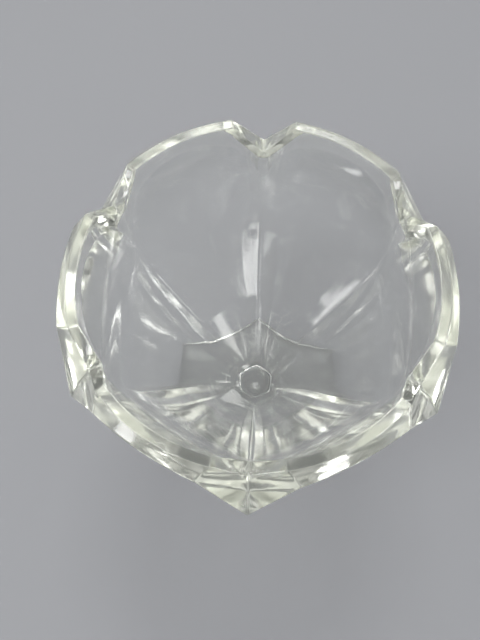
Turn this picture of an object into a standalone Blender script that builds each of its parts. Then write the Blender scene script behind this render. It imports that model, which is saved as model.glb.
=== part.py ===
"""Footed mixing glass, pressed in one piece of clear glass.

Six flat panels meet at sharp ridges.  The bowl tapers to a narrow waist and stands on a
six-sided foot.  The rim is a narrow flat band, cut by a V notch above every ridge, so that
it leaves six lobes.  Metres, +Z up, the foot stands on z = 0, and one ridge points to +Y.
"""

from math import atan2, cos, pi, radians, sin, tan

import bmesh
import bpy
from mathutils import Matrix, Vector
from mathutils.geometry import interpolate_bezier

# Driving dimensions
PANELS = 6
HEIGHT = 0.125
RIM_RADIUS = 0.050  # outer edge of the flat rim band, over a lobe
RIM_BAND = 0.0028  # width of the flat rim band
RIDGE_RADIUS = 0.0582  # where the bowl is widest, on a ridge
RIDGE_DROP = 0.0208  # from the rim down to that point
SHOULDER_RADIUS = 0.0528  # top edge of a panel, at its middle
SHOULDER_DROP = 0.0034
SHOULDER_END_RADIUS = 0.0537  # the same edge, where the notch begins
SHOULDER_END_DROP = 0.0045
NOTCH_INNER_RADIUS = 0.0458
NOTCH_OUTER_RADIUS = 0.0494
NOTCH_INNER_DROP = 0.0100
NOTCH_OUTER_DROP = 0.0087
NOTCH_RIM_ANGLE = radians(10.5)  # half the notch, seen from the axis, at the rim
NOTCH_SHOULDER_ANGLE = radians(13.7)  # the same at the shoulder
CAVITY_DEPTH = 0.1050
CAVITY_TOP = 0.1208  # where the middle of each flat side of the cavity meets the round collar
COLLAR_TAPER = 0.04  # how much the collar narrows per length downwards
WAIST_RADIUS = 0.0105  # ridge radius of the narrowest section
WAIST_HEIGHT = 0.0140
FOOT_RADIUS = 0.0400  # corner radius of the foot
FOOT_EDGE = 0.0045  # height of its upright edge
FOOT_CHAMFER = 0.0008
PANEL_CROWN = 0.0012  # how far a panel bulges at its middle, near the rim
CAVITY_CROWN = 0.04  # the same inside, as a share of the corner radius

# Outlines as Bezier curves: end, handle, handle, end, each (corner radius, height)
RIDGE_CURVE = (
    (RIDGE_RADIUS, HEIGHT - RIDGE_DROP),
    (0.0588, 0.0785),
    (0.0135, 0.0240),
    (WAIST_RADIUS, WAIST_HEIGHT),
)
FOOT_CURVE = (
    (WAIST_RADIUS, WAIST_HEIGHT),
    (WAIST_RADIUS, 0.0090),
    (0.0240, 0.0070),
    (FOOT_RADIUS, FOOT_EDGE),
)
CAVITY_UPPER = (
    (0.0521, CAVITY_TOP),
    (0.0488, 0.1180),
    (0.0466, 0.1050),
    (0.0462, 0.0950),
)
CAVITY_LOWER = (
    (0.0462, 0.0950),
    (0.0466, 0.0780),
    (0.0190, 0.0605),
    (0.0072, 0.0225),
)

# How finely the faces follow those outlines
NOTCH_STEPS = 2
LOBE_STEPS = 3
BOWL_STEPS = 12
FOOT_STEPS = 5
CAVITY_STEPS = 14
FLOOR_STEPS = 2

HALF_PANEL = pi / PANELS
GLASS_COLOUR = (0.93, 0.95, 0.94, 1.0)
GLASS_INDEX = 1.5


def clear_scene():
    for thing in list(bpy.data.objects):
        bpy.data.objects.remove(thing, do_unlink=True)


def curve_points(curve, steps):
    """Points (radius, height) along a Bezier curve, both ends included."""
    ends = [Vector((radius, height, 0.0)) for radius, height in curve]
    return [(p.x, p.y) for p in interpolate_bezier(ends[0], ends[1], ends[2], ends[3], steps + 1)]


def around_axis(radius, angle, height):
    return Vector((radius * cos(angle), radius * sin(angle), height))


def column_places():
    """Columns over half a panel, from its ridge to its middle, as (in_notch, share)."""
    notch = [(True, i / NOTCH_STEPS) for i in range(NOTCH_STEPS)]
    lobe = [(False, i / LOBE_STEPS) for i in range(LOBE_STEPS + 1)]
    return notch + lobe


def rim_points(in_notch, share):
    """Inner edge and outer edge of the rim and the shoulder edge, for a panel facing +X."""
    crest_rim = HALF_PANEL - NOTCH_RIM_ANGLE
    crest_shoulder = HALF_PANEL - NOTCH_SHOULDER_ANGLE
    band_radius = RIM_RADIUS - RIM_BAND
    if in_notch:
        low = (
            around_axis(NOTCH_INNER_RADIUS, HALF_PANEL, HEIGHT - NOTCH_INNER_DROP),
            around_axis(NOTCH_OUTER_RADIUS, HALF_PANEL, HEIGHT - NOTCH_OUTER_DROP),
            around_axis(RIDGE_RADIUS, HALF_PANEL, HEIGHT - RIDGE_DROP),
        )
        crest = (
            around_axis(band_radius, crest_rim, HEIGHT),
            around_axis(RIM_RADIUS, crest_rim, HEIGHT),
            around_axis(SHOULDER_END_RADIUS, crest_shoulder, HEIGHT - SHOULDER_END_DROP),
        )
        return [a.lerp(b, share) for a, b in zip(low, crest)]
    rim_angle = crest_rim * (1.0 - share)
    shoulder_angle = crest_shoulder * (1.0 - share)
    rise = sin(share * pi / 2.0)
    shoulder_radius = SHOULDER_END_RADIUS + (SHOULDER_RADIUS - SHOULDER_END_RADIUS) * rise
    shoulder_drop = SHOULDER_END_DROP + (SHOULDER_DROP - SHOULDER_END_DROP) * rise
    return [
        around_axis(band_radius, rim_angle, HEIGHT),
        around_axis(RIM_RADIUS, rim_angle, HEIGHT),
        around_axis(shoulder_radius, shoulder_angle, HEIGHT - shoulder_drop),
    ]


def outer_point(ridge_radius, height, across, crown):
    """A point on a flat panel facing +X; across runs from 0 at its middle to 1 at its ridge."""
    return Vector((
        ridge_radius * cos(HALF_PANEL) + crown * (1.0 - across * across),
        across * ridge_radius * sin(HALF_PANEL),
        height,
    ))


def cavity_outline():
    """The cavity's corner radius from the bottom up, as points (radius, height)."""
    upper = curve_points(CAVITY_UPPER, CAVITY_STEPS)
    lower = curve_points(CAVITY_LOWER, 2 * CAVITY_STEPS)
    return (upper[:-1] + lower)[::-1]


def inner_point(height, angle):
    """A point on a flat side of the cavity, for a panel facing +X."""
    outline = cavity_outline()
    for (low_radius, low), (high_radius, high) in zip(outline, outline[1:]):
        if height <= high:
            break
    radius = low_radius + (high_radius - low_radius) * (height - low) / (high - low)
    across = tan(angle) / tan(HALF_PANEL)
    return outer_point(radius, height, across, CAVITY_CROWN * radius)


def collar_radius(height):
    return RIM_RADIUS - RIM_BAND - COLLAR_TAPER * (HEIGHT - height)


def arch_height(angle):
    """Where a flat side of the cavity comes out of the round collar below the rim."""
    low = CAVITY_LOWER[0][1]
    high = CAVITY_TOP
    for _ in range(30):
        middle = 0.5 * (low + high)
        if inner_point(middle, angle).xy.length < collar_radius(middle):
            low = middle
        else:
            high = middle
    return low


def column(in_notch, share):
    """One column of points up the outside, over the rim and down the inside."""
    band, edge, shoulder = rim_points(in_notch, share)
    across = shoulder.y / (RIDGE_RADIUS * sin(HALF_PANEL))
    points = [
        outer_point(FOOT_RADIUS - FOOT_CHAMFER, 0.0, across, 0.0),
        outer_point(FOOT_RADIUS, FOOT_CHAMFER, across, 0.0),
    ]
    for radius, height in reversed(curve_points(FOOT_CURVE, FOOT_STEPS)):
        points.append(outer_point(radius, height, across, 0.0))
    # The waist is there already, and the widest point belongs to the shoulder's last facet
    bowl = curve_points(RIDGE_CURVE, BOWL_STEPS)[1:-1]
    for radius, height in reversed(bowl):
        points.append(outer_point(radius, height, across, PANEL_CROWN * height / HEIGHT))
    points.append(points[-1].lerp(shoulder, 0.5))
    points.extend([shoulder, edge, band])
    angle = atan2(band.y, band.x)
    arch = arch_height(angle)
    points.append(band.lerp(inner_point(arch, angle), 0.5))
    points.append(inner_point(arch, angle))
    # Rows follow the arch at first and are level towards the bottom
    floor_top = CAVITY_LOWER[-1][1]
    for step in range(1, CAVITY_STEPS + 1):
        share = step / CAVITY_STEPS
        level = CAVITY_TOP + (floor_top - CAVITY_TOP) * share
        points.append(inner_point(level - (CAVITY_TOP - arch) * (1.0 - share) ** 2, angle))
    # The bottom of the cavity is a quarter of an ellipse
    brim = points[-1]
    for step in range(1, FLOOR_STEPS):
        turn = step / FLOOR_STEPS * pi / 2.0
        height = floor_top - (floor_top - (HEIGHT - CAVITY_DEPTH)) * sin(turn)
        points.append(Vector((brim.x * cos(turn), brim.y * cos(turn), height)))
    return points


def panel_columns():
    """Columns over one whole panel facing +X, from -30 degrees up to, not with, +30."""
    half = [column(in_notch, share) for in_notch, share in column_places()]
    mirrored = [[Vector((p.x, -p.y, p.z)) for p in points] for points in half]
    return mirrored + half[-2:0:-1]


def build_glass():
    mesh = bmesh.new()
    columns = []
    for panel in range(PANELS):
        turn = Matrix.Rotation(2.0 * HALF_PANEL * panel, 3, "Z")
        for points in panel_columns():
            columns.append([mesh.verts.new(turn @ point) for point in points])
    under = mesh.verts.new((0.0, 0.0, 0.0))
    floor = mesh.verts.new((0.0, 0.0, HEIGHT - CAVITY_DEPTH))
    for here, there in zip(columns, columns[1:] + columns[:1]):
        mesh.faces.new((under, there[0], here[0]))
        mesh.faces.new((here[-1], there[-1], floor))
        for low in range(len(here) - 1):
            mesh.faces.new((here[low], there[low], there[low + 1], here[low + 1]))
    bmesh.ops.recalc_face_normals(mesh, faces=mesh.faces)
    data = bpy.data.meshes.new("glass_body")
    mesh.to_mesh(data)
    mesh.free()
    data.shade_smooth()
    data.set_sharp_from_angle(angle=radians(25.0))
    data.materials.append(clear_glass())
    body = bpy.data.objects.new("glass_body", data)
    bpy.context.scene.collection.objects.link(body)
    return body


def clear_glass():
    material = bpy.data.materials.new("clear_glass")
    material.use_nodes = True
    shader = material.node_tree.nodes["Principled BSDF"]
    shader.inputs["Base Color"].default_value = GLASS_COLOUR
    shader.inputs["Roughness"].default_value = 0.02
    shader.inputs["Metallic"].default_value = 0.0
    shader.inputs["IOR"].default_value = GLASS_INDEX
    shader.inputs["Transmission Weight"].default_value = 1.0
    return material


def main():
    clear_scene()
    build_glass()


if __name__ == "__main__":
    main()
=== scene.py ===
"""Looks of the footed mixing glass: one piece of clear pressed glass on a plain studio floor.

The glass is built again as a fine smooth mesh, on the same outlines as the solid model, with
small roundings where the solid has sharp edges.  Metres, +Z up, one ridge points to +Y.
"""

from math import atan2, cos, pi, radians, sin, tan

import bmesh
import bpy
from mathutils import Matrix, Vector
from mathutils.geometry import interpolate_bezier


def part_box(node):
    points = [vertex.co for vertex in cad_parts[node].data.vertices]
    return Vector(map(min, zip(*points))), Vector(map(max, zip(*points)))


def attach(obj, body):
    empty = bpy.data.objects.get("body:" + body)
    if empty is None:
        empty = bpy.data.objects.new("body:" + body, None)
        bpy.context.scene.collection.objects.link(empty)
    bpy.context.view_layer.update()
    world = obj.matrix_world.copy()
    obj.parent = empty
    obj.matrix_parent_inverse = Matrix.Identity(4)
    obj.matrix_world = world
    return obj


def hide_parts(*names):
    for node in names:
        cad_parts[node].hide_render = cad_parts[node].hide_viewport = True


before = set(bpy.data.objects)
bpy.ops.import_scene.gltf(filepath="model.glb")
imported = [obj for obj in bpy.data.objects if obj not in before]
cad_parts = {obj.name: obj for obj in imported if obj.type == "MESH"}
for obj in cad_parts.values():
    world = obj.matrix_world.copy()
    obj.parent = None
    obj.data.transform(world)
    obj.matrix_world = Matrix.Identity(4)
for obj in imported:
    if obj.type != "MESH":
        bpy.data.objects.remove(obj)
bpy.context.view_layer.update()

# From the frame: the glass's height, its radius at the widest point of a ridge, and its radius at
# the middle of a panel's top edge
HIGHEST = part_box("glass_body")[1]
HEIGHT = HIGHEST.z
RIDGE_RADIUS = HIGHEST.y
SHOULDER_RADIUS = HIGHEST.x

# The rim and its notches
PANELS = 6
HALF_PANEL = pi / PANELS
RIM_RADIUS = 0.0500
RIM_BAND = 0.0028
RIDGE_DROP = 0.0208
SHOULDER_DROP = 0.0034
SHOULDER_END_RADIUS = 0.0537
SHOULDER_END_DROP = 0.0045
NOTCH_INNER_RADIUS = 0.0458
NOTCH_OUTER_RADIUS = 0.0494
NOTCH_INNER_DROP = 0.0100
NOTCH_OUTER_DROP = 0.0087
NOTCH_RIM_ANGLE = radians(10.5)
NOTCH_SHOULDER_ANGLE = radians(13.7)

# The body, its outlines as Bezier curves: end, handle, handle, end, each (corner radius, height)
CAVITY_DEPTH = 0.1050
CAVITY_CROWN = 0.04
COLLAR_TAPER = 0.04
PANEL_CROWN = 0.0012
FOOT_RADIUS = 0.0400
FOOT_EDGE = 0.0045
WAIST = (0.0105, 0.0140)
RIDGE_CURVE = ((RIDGE_RADIUS, HEIGHT - RIDGE_DROP), (0.0588, 0.0785), (0.0135, 0.0240), WAIST)
FOOT_CURVE = (WAIST, (0.0105, 0.0090), (0.0240, 0.0070), (FOOT_RADIUS, FOOT_EDGE))
CAVITY_TOP = 0.1208
CAVITY_TURN = (0.0462, 0.0950)
CAVITY_UPPER = ((0.0521, CAVITY_TOP), (0.0488, 0.1180), (0.0466, 0.1050), CAVITY_TURN)
CAVITY_LOWER = (CAVITY_TURN, (0.0466, 0.0780), (0.0190, 0.0605), (0.0072, 0.0225))

# Roundings: how far from an edge the surface starts to turn
FOOT_ROUNDING = 0.0010
SHOULDER_ROUNDING = 0.0006
RIM_ROUNDING = 0.0005
ARCH_ROUNDING = 0.0007
RIDGE_SHARE = 0.05  # the same beside a ridge and a notch's crest, as a share of the notch
CREASE_SHARE = 0.16  # and beside a crease of the cavity
CREST_SHARE = 0.04  # and beside a crest, as a share of the lobe
TIP_HEIGHT = 0.0120  # above its floor the six-sided cavity turns round over this height
TIP_SHARE = 0.94  # to this share of its corner radius

# The mesh before it is subdivided
NOTCH_SHARES = (0.0, RIDGE_SHARE, 0.35, 0.65, 1.0 - RIDGE_SHARE)
LOBE_SHARES = (0.0, CREST_SHARE, 0.35, 0.7, 1.0)
UNDERSIDE_SHARES = (0.4, 0.8)
FOOT_STEPS = 5
BOWL_STEPS = 11
FLANK_STEPS = 3  # from the bowl's last row up to the shoulder
SHOULDER_STEPS = 2
COLLAR_STEPS = 3
CAVITY_STEPS = 15
FLOOR_STEPS = 3
UPPER_OUTLINE_STEPS = 12
LOWER_OUTLINE_STEPS = 24
HALVINGS = 30  # of the search for an arch's height
SUBDIVISIONS = 2

# Wear fades out over these distances
RIM_WEAR_DEPTH = 0.0045
RIDGE_WEAR_DEPTH = 0.0012
FOOT_WEAR_HEIGHT = 0.0030

# The glass: noise scales are per metre, and depths are how deep each noise shows as a bump
GLASS_COLOUR = (0.985, 0.99, 0.98, 1.0)
GLASS_INDEX = 1.5
TINT_COLOUR = (0.79, 0.81, 0.70, 1.0)
TINT_DENSITY = 6.0
RIPPLE_SCALE = 55.0
RIPPLE_DEPTH = 0.00022
SKIN_SCALE = 420.0
SKIN_DEPTH = 0.000006
CHAFE_SCALE = 900.0
CHAFE_DEPTH = 0.000008
CHAFE_RANGE = (0.30, 0.65)  # noise values where rubbing is at its least and at its most
CHAFE_LEAST = 0.45
CLOUD_SCALE = 130.0
CLOUD_RANGE = (0.35, 0.70)
CLEAN_ROUGHNESS = (0.035, 0.075)
RUBBED_ROUGHNESS = 0.11
SCRATCH_ROUGHNESS = 0.12
SCRATCH_TURN = (0.4, 0.9, 0.3)
SCRATCH_SCALES = (700.0, 40.0, 60.0)
SCRATCH_WIDTH = 0.006  # in the noise's own values
SCRATCHED_RANGE = (0.52, 0.62)  # cloud values between which scratches fade in

# The studio
FLOOR_REACH = 25.0
FLOOR_HEIGHT = -0.0003  # a hair below the foot, so that the two surfaces don't coincide
FLOOR_COLOUR = (0.31, 0.315, 0.33, 1.0)
# The dome's brightness from the horizon up, as (sine of the elevation, brightness)
DOME = ((0.0, 0.30), (0.12, 0.28), (0.30, 0.38), (0.50, 1.0), (1.0, 1.15))
KEY_PLACE = (-0.45, -0.30, 0.80)
KEY_SIZE = (0.30, 0.30)
BACK_PLACE = (0.0, 0.47, 0.93)
BACK_SIZE = (0.30, 0.36)
LAMP_POWER = 2.6
STRIP_AZIMUTHS = (-160.0, -140.0, -57.0, -22.0, 5.0)
STRIP_DISTANCE = 0.60
STRIP_SIZE = (0.08, 0.36)
STRIP_HEIGHT = 0.16
STRIP_POWER = 1.1
EXPOSURE = -0.2

# The camera looks steeply down into the bowl
CAMERA_LENS = 33.75
CAMERA_NEAREST = 0.01
CAMERA_AZIMUTH = radians(5.9)
CAMERA_ELEVATION = radians(68.9)
CAMERA_ROLL = radians(-3.1)
CAMERA_DISTANCE = 0.1558
CAMERA_AIM = (0.0285, 0.0743)  # where the rim's centre lies, right of and above the axis, as slopes


def curve_points(curve, steps):
    """Points (radius, height) along a Bezier curve, both ends included."""
    ends = [Vector((radius, height, 0.0)) for radius, height in curve]
    return [(p.x, p.y) for p in interpolate_bezier(*ends, steps + 1)]


# The cavity's corner radius from the bottom up, as points (radius, height)
CAVITY_OUTLINE = curve_points(CAVITY_UPPER, UPPER_OUTLINE_STEPS)[:-1]
CAVITY_OUTLINE += curve_points(CAVITY_LOWER, LOWER_OUTLINE_STEPS)
CAVITY_OUTLINE.reverse()


def around_axis(radius, angle, height):
    return Vector((radius * cos(angle), radius * sin(angle), height))


def rim_points(in_notch, share):
    """Inner edge and outer edge of the rim and the shoulder edge, for a panel facing +X."""
    crest_rim = HALF_PANEL - NOTCH_RIM_ANGLE
    crest_shoulder = HALF_PANEL - NOTCH_SHOULDER_ANGLE
    band_radius = RIM_RADIUS - RIM_BAND
    if in_notch:
        low = (
            around_axis(NOTCH_INNER_RADIUS, HALF_PANEL, HEIGHT - NOTCH_INNER_DROP),
            around_axis(NOTCH_OUTER_RADIUS, HALF_PANEL, HEIGHT - NOTCH_OUTER_DROP),
            around_axis(RIDGE_RADIUS, HALF_PANEL, HEIGHT - RIDGE_DROP),
        )
        crest = (
            around_axis(band_radius, crest_rim, HEIGHT),
            around_axis(RIM_RADIUS, crest_rim, HEIGHT),
            around_axis(SHOULDER_END_RADIUS, crest_shoulder, HEIGHT - SHOULDER_END_DROP),
        )
        return [a.lerp(b, share) for a, b in zip(low, crest)]
    rim_angle = crest_rim * (1.0 - share)
    shoulder_angle = crest_shoulder * (1.0 - share)
    rise = sin(share * pi / 2.0)
    shoulder_radius = SHOULDER_END_RADIUS + (SHOULDER_RADIUS - SHOULDER_END_RADIUS) * rise
    shoulder_drop = SHOULDER_END_DROP + (SHOULDER_DROP - SHOULDER_END_DROP) * rise
    return [
        around_axis(band_radius, rim_angle, HEIGHT),
        around_axis(RIM_RADIUS, rim_angle, HEIGHT),
        around_axis(shoulder_radius, shoulder_angle, HEIGHT - shoulder_drop),
    ]


def outer_point(ridge_radius, height, across, crown):
    """A point on a flat panel facing +X; across runs from 0 at its middle to 1 at its ridge."""
    return Vector((
        ridge_radius * cos(HALF_PANEL) + crown * (1.0 - across * across),
        across * ridge_radius * sin(HALF_PANEL),
        height,
    ))


def corner_radius(height):
    """Corner radius of the cavity's six-sided part; in the collar it is only construction."""
    for (low_radius, low), (high_radius, high) in zip(CAVITY_OUTLINE, CAVITY_OUTLINE[1:]):
        if height <= high:
            break
    return low_radius + (high_radius - low_radius) * (height - low) / (high - low)


def inner_point(height, angle):
    """A point on a flat side of the cavity, which turns round at its tip, for a panel facing +X."""
    radius = corner_radius(height)
    across = tan(angle) / tan(HALF_PANEL)
    flat = outer_point(radius, height, across, CAVITY_CROWN * radius)
    roundness = max(0.0, 1.0 - (height - CAVITY_LOWER[-1][1]) / TIP_HEIGHT)
    return flat.lerp(around_axis(TIP_SHARE * radius, angle, height), roundness)


def collar_radius(height):
    return RIM_RADIUS - RIM_BAND - COLLAR_TAPER * (HEIGHT - height)


def arch_height(angle):
    """Where a flat side of the cavity comes out of the round collar below the rim."""
    low = CAVITY_TURN[1]
    high = CAVITY_TOP
    for _ in range(HALVINGS):
        middle = 0.5 * (low + high)
        if inner_point(middle, angle).xy.length < collar_radius(middle):
            low = middle
        else:
            high = middle
    return low


def between(start, end, steps):
    """Stations strictly between two points."""
    return [(start.lerp(end, step / steps), 0.0) for step in range(1, steps)]


def outside_stations(across, shoulder):
    """From under the foot up to the shoulder, not with it, as (point, rounding)."""
    stations = []
    for part in UNDERSIDE_SHARES:
        stations.append((outer_point(FOOT_RADIUS * part, 0.0, across, 0.0), 0.0))
    stations.append((outer_point(FOOT_RADIUS, 0.0, across, 0.0), FOOT_ROUNDING))
    foot = [outer_point(r, z, across, 0.0) for r, z in reversed(curve_points(FOOT_CURVE, FOOT_STEPS))]
    stations.append((foot[0], FOOT_ROUNDING))
    stations.extend((point, 0.0) for point in foot[1:])
    for radius, height in reversed(curve_points(RIDGE_CURVE, BOWL_STEPS)[1:-1]):
        stations.append((outer_point(radius, height, across, PANEL_CROWN * height / HEIGHT), 0.0))
    return stations + between(stations[-1][0], shoulder, FLANK_STEPS)


def inside_stations(band, angle):
    """From the rim's inner edge, not with it, down to the middle of the floor, not with it."""
    arch = arch_height(angle)
    stations = between(band, inner_point(arch, angle), COLLAR_STEPS)
    stations.append((inner_point(arch, angle), ARCH_ROUNDING))
    # Rows follow the arch at first and are level towards the bottom
    floor_top = CAVITY_LOWER[-1][1]
    for step in range(1, CAVITY_STEPS + 1):
        part = step / CAVITY_STEPS
        level = CAVITY_TOP + (floor_top - CAVITY_TOP) * part
        height = level - (CAVITY_TOP - arch) * (1.0 - part) ** 2
        stations.append((inner_point(height, angle), 0.0))
    # The bottom of the cavity is a quarter of an ellipse
    brim = inner_point(floor_top, angle)
    for step in range(1, FLOOR_STEPS):
        turn = step / FLOOR_STEPS * pi / 2.0
        height = floor_top - (floor_top - (HEIGHT - CAVITY_DEPTH)) * sin(turn)
        stations.append((Vector((brim.x * cos(turn), brim.y * cos(turn), height)), 0.0))
    return stations


def column_stations(in_notch, share):
    """One column up the outside, over the rim and down the inside, as (point, rounding)."""
    band, edge, shoulder = rim_points(in_notch, share)
    across = shoulder.y / (RIDGE_RADIUS * sin(HALF_PANEL))
    # Inside, the column beside a ridge stands further off, so that the crease is rounded more
    if in_notch and share == RIDGE_SHARE:
        angle = HALF_PANEL - CREASE_SHARE * NOTCH_RIM_ANGLE
    else:
        angle = atan2(band.y, band.x)
    stations = outside_stations(across, shoulder)
    stations.append((shoulder, SHOULDER_ROUNDING))
    stations.extend(between(shoulder, edge, SHOULDER_STEPS))
    stations.append((edge, RIM_ROUNDING))
    stations.append((band, RIM_ROUNDING))
    stations.extend(inside_stations(band, angle))
    return stations


def column(in_notch, share):
    """The column's points, with one more on either side of each rounded edge."""
    stations = column_stations(in_notch, share)
    points = []
    for index, (point, rounding) in enumerate(stations):
        if not rounding:
            points.append(point)
            continue
        before = stations[index - 1][0] - point
        after = stations[index + 1][0] - point
        points.append(point + before.normalized() * rounding)
        points.append(point)
        points.append(point + after.normalized() * rounding)
    return points


def panel_columns():
    """Columns over one whole panel facing +X, from its ridge up to, not with, the next."""
    half = [column(True, share) for share in NOTCH_SHARES]
    half += [column(False, share) for share in LOBE_SHARES]
    mirrored = [[Vector((p.x, -p.y, p.z)) for p in points] for points in half]
    return mirrored + half[-2:0:-1]


def build_glass():
    mesh = bmesh.new()
    columns = []
    for panel in range(PANELS):
        turn = Matrix.Rotation(2.0 * HALF_PANEL * panel, 3, "Z")
        for points in panel_columns():
            columns.append([mesh.verts.new(turn @ point) for point in points])
    under = mesh.verts.new((0.0, 0.0, 0.0))
    floor = mesh.verts.new((0.0, 0.0, HEIGHT - CAVITY_DEPTH))
    for here, there in zip(columns, columns[1:] + columns[:1]):
        mesh.faces.new((under, there[0], here[0]))
        mesh.faces.new((here[-1], there[-1], floor))
        for low in range(len(here) - 1):
            mesh.faces.new((here[low], there[low], there[low + 1], here[low + 1]))
    bmesh.ops.recalc_face_normals(mesh, faces=mesh.faces)
    data = bpy.data.meshes.new("mixing_glass")
    mesh.to_mesh(data)
    mesh.free()
    data.shade_smooth()
    store_wear(data)
    glass = bpy.data.objects.new("mixing_glass", data)
    bpy.context.scene.collection.objects.link(glass)
    smooth = glass.modifiers.new("smooth", "SUBSURF")
    smooth.levels = SUBDIVISIONS
    smooth.render_levels = SUBDIVISIONS
    return glass


def store_wear(data):
    """How much each vertex is rubbed: at the rim, the ridges' widest points and the foot's edge."""
    wear = data.attributes.new("wear", "FLOAT", "POINT")
    for vertex in data.vertices:
        place = vertex.co
        radius = place.xy.length
        near_rim = max(0.0, 1.0 - (HEIGHT - place.z) / RIM_WEAR_DEPTH)
        near_ridge = max(0.0, 1.0 - (RIDGE_RADIUS - radius) / RIDGE_WEAR_DEPTH)
        near_foot = max(0.0, 1.0 - place.z / FOOT_WEAR_HEIGHT)
        wear.data[vertex.index].value = max(near_rim, near_ridge, near_foot)


class Nodes:
    """Adds shader nodes to a material or world, each set up and linked in one call."""

    def __init__(self, owner):
        owner.use_nodes = True
        self.tree = owner.node_tree

    def add(self, kind, settings=(), **inputs):
        """An input called _0, _1 and so on is found by its number, any other by its name."""
        node = self.tree.nodes.new(kind)
        for name, value in dict(settings).items():
            setattr(node, name, value)
        for name, value in inputs.items():
            socket = node.inputs[int(name[1:])] if name[0] == "_" else node.inputs[name]
            if isinstance(value, bpy.types.NodeSocket):
                self.tree.links.new(value, socket)
            else:
                socket.default_value = value
        return node

    def noise(self, place, scale, detail):
        return self.add("ShaderNodeTexNoise", Vector=place, Scale=scale, Detail=detail).outputs[0]

    def math(self, operation, first, second):
        return self.add("ShaderNodeMath", {"operation": operation}, _0=first, _1=second).outputs[0]

    def spread(self, value, low, high, to_low, to_high):
        """Value from low to high, mapped smoothly to to_low up to to_high."""
        node = self.add(
            "ShaderNodeMapRange", {"interpolation_type": "SMOOTHSTEP"},
            _0=value, _1=low, _2=high, _3=to_low, _4=to_high,
        )
        return node.outputs[0]

    def bump(self, height, depth, **normal):
        """A bump of this depth, on top of an earlier one where that is given as Normal."""
        node = self.add("ShaderNodeBump", Strength=1.0, Distance=depth, Height=height, **normal)
        return node.outputs[0]


def scratches(nodes, place, cloud):
    """Hairlines: the thin level lines of a noise stretched along one way, in some places only."""
    mapping = nodes.add("ShaderNodeMapping", Vector=place, Rotation=SCRATCH_TURN, Scale=SCRATCH_SCALES)
    streaks = nodes.noise(mapping.outputs[0], 1.0, 1.0)
    offset = nodes.math("ABSOLUTE", nodes.math("SUBTRACT", streaks, 0.5), 0.0)
    line = nodes.spread(offset, 0.0, SCRATCH_WIDTH, 1.0, 0.0)
    return nodes.math("MULTIPLY", line, nodes.spread(cloud, *SCRATCHED_RANGE, 0.0, 1.0))


def glass_material():
    """Clear pressed glass: mould ripple, a fine skin, worn edges, hairline scratches and a tint."""
    material = bpy.data.materials.new("pressed_glass")
    nodes = Nodes(material)
    shader = nodes.tree.nodes["Principled BSDF"]
    shader.inputs["Base Color"].default_value = GLASS_COLOUR
    shader.inputs["IOR"].default_value = GLASS_INDEX
    shader.inputs["Transmission Weight"].default_value = 1.0

    place = nodes.add("ShaderNodeTexCoord").outputs["Object"]
    cloud = nodes.noise(place, CLOUD_SCALE, 5.0)
    chafe = nodes.noise(place, CHAFE_SCALE, 4.0)
    wear = nodes.add("ShaderNodeAttribute", {"attribute_name": "wear"}).outputs["Fac"]
    rubbed = nodes.math("MULTIPLY", wear, nodes.spread(chafe, *CHAFE_RANGE, CHAFE_LEAST, 1.0))
    scratch = scratches(nodes, place, cloud)
    roughness = nodes.spread(cloud, *CLOUD_RANGE, *CLEAN_ROUGHNESS)
    roughness = nodes.math("ADD", roughness, nodes.math("MULTIPLY", rubbed, RUBBED_ROUGHNESS))
    roughness = nodes.math("ADD", roughness, nodes.math("MULTIPLY", scratch, SCRATCH_ROUGHNESS))
    nodes.tree.links.new(roughness, shader.inputs["Roughness"])

    bump = nodes.bump(nodes.noise(place, RIPPLE_SCALE, 1.0), RIPPLE_DEPTH)
    bump = nodes.bump(nodes.noise(place, SKIN_SCALE, 2.0), SKIN_DEPTH, Normal=bump)
    bump = nodes.bump(chafe, CHAFE_DEPTH, Normal=bump)
    nodes.tree.links.new(bump, shader.inputs["Normal"])

    tint = nodes.add("ShaderNodeVolumeAbsorption", Color=TINT_COLOUR, Density=TINT_DENSITY)
    output = nodes.tree.nodes["Material Output"]
    nodes.tree.links.new(tint.outputs[0], output.inputs["Volume"])
    return material


def add_floor():
    """A floor of matt paper, with no sheen under the strips."""
    data = bpy.data.meshes.new("floor")
    sides = ((-1.0, -1.0), (1.0, -1.0), (1.0, 1.0), (-1.0, 1.0))
    corners = [(x * FLOOR_REACH, y * FLOOR_REACH, FLOOR_HEIGHT) for x, y in sides]
    data.from_pydata(corners, [], [(0, 1, 2, 3)])
    floor = bpy.data.objects.new("floor", data)
    bpy.context.scene.collection.objects.link(floor)
    material = bpy.data.materials.new("studio_floor")
    shader = Nodes(material).tree.nodes["Principled BSDF"]
    shader.inputs["Base Color"].default_value = FLOOR_COLOUR
    shader.inputs["Roughness"].default_value = 1.0
    shader.inputs["Specular IOR Level"].default_value = 0.0
    data.materials.append(material)
    return floor


def add_world():
    """A soft studio dome: mid grey up to some way above the horizon, and bright overhead."""
    world = bpy.data.worlds.new("studio")
    nodes = Nodes(world)
    up = nodes.add("ShaderNodeTexCoord").outputs["Generated"]
    height = nodes.add("ShaderNodeSeparateXYZ", _0=up).outputs["Z"]
    ramp = nodes.add("ShaderNodeValToRGB", _0=height)
    stops = ramp.color_ramp.elements
    while len(stops) < len(DOME):
        stops.new(0.5)
    for stop, (position, brightness) in zip(stops, DOME):
        stop.position = position
        stop.color = (brightness, brightness, brightness, 1.0)
    background = nodes.tree.nodes["Background"]
    nodes.tree.links.new(ramp.outputs[0], background.inputs["Color"])
    background.inputs["Strength"].default_value = 1.0
    bpy.context.scene.world = world


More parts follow.
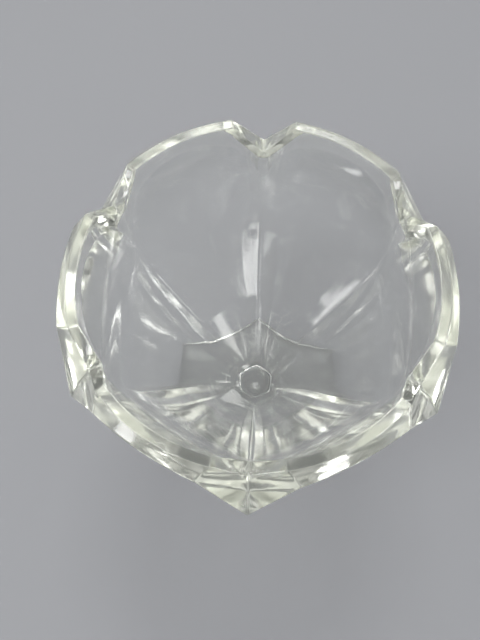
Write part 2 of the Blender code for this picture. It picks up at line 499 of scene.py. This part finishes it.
def add_light(name, place, size, power, target):
    data = bpy.data.lights.new(name, "AREA")
    data.shape = "RECTANGLE"
    data.size, data.size_y = size
    data.energy = power
    lamp = bpy.data.objects.new(name, data)
    bpy.context.scene.collection.objects.link(lamp)
    lamp.location = place
    lamp.rotation_euler = (target - Vector(place)).to_track_quat("-Z", "Y").to_euler()
    lamp.visible_camera = False
    return lamp


def add_strips():
    """Tall lamps round the glass, which give it reflections and leave the floor even."""
    for number, azimuth in enumerate(STRIP_AZIMUTHS):
        place = around_axis(STRIP_DISTANCE, radians(azimuth), STRIP_HEIGHT)
        level = Vector((0.0, 0.0, place.z))
        strip = add_light(f"strip_{number}", place, STRIP_SIZE, STRIP_POWER, level)
        strip.visible_diffuse = False


def add_camera():
    data = bpy.data.cameras.new("camera")
    data.lens = CAMERA_LENS
    data.clip_start = CAMERA_NEAREST
    camera = bpy.data.objects.new("camera", data)
    bpy.context.scene.collection.objects.link(camera)
    turn = Matrix.Rotation(CAMERA_AZIMUTH, 4, "Z")
    turn @= Matrix.Rotation(pi / 2.0 - CAMERA_ELEVATION, 4, "X")
    turn @= Matrix.Rotation(CAMERA_ROLL, 4, "Z")
    aim = turn @ Vector((*CAMERA_AIM, -1.0)).normalized()
    place = Vector((0.0, 0.0, HEIGHT)) - aim * CAMERA_DISTANCE
    camera.matrix_world = Matrix.Translation(place) @ turn
    bpy.context.scene.camera = camera


glass = build_glass()
glass.data.materials.append(glass_material())
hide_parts("glass_body")
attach(glass, "root")

add_floor()
add_world()
middle = Vector((0.0, 0.0, 0.5 * HEIGHT))
add_light("key", KEY_PLACE, KEY_SIZE, LAMP_POWER, middle)
add_light("back", BACK_PLACE, BACK_SIZE, LAMP_POWER, middle)
add_strips()
add_camera()

scene = bpy.context.scene
scene.view_settings.view_transform = "Standard"
scene.view_settings.exposure = EXPOSURE
# Light has to pass many walls of thick glass before it reaches the camera
scene.cycles.max_bounces = 40
scene.cycles.transmission_bounces = 40
scene.cycles.glossy_bounces = 20
scene.cycles.diffuse_bounces = 6
